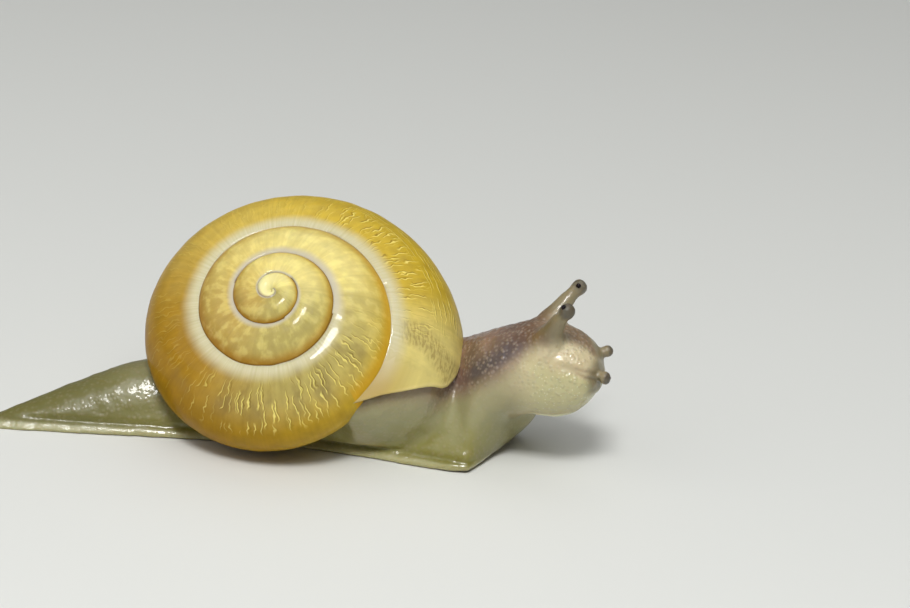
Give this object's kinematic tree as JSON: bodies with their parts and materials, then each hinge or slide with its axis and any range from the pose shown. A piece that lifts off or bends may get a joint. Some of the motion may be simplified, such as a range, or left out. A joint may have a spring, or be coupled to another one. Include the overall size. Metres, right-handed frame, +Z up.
{
  "type": "garden snail",
  "caption": "Life-size garden snail with a yellow coiled shell, creeping on its foot with head raised and feelers out; a still display model.",
  "frame": {"origin": "on the sole, under the middle of the shell, at the level of the floor", "axes": "+X the way the snail faces, +Y its left side, +Z up"},
  "size_m": [0.0334, 0.0137, 0.0121],
  "materials": {
    "shell": "thin, glossy, slightly see-through yellow shell with a paler band along the seam and fine growth lines",
    "skin": "wet, bumpy, slightly see-through grey-beige skin, darker along the neck, pale on the foot",
    "eye": "dark, glossy eye spot"
  },
  "bodies": {
    "root": {"shell": "shell", "mantle_collar": "skin", "tail": "skin", "foot_rear": "skin", "foot_middle": "skin", "neck": "skin", "head": "skin", "foot_front": "skin", "lips": "skin", "upper_tentacle_right": "skin", "upper_tentacle_left": "skin", "lower_tentacle_right": "skin", "lower_tentacle_left": "skin", "eye_right": "eye", "eye_left": "eye"}
  },
  "joints": []
}
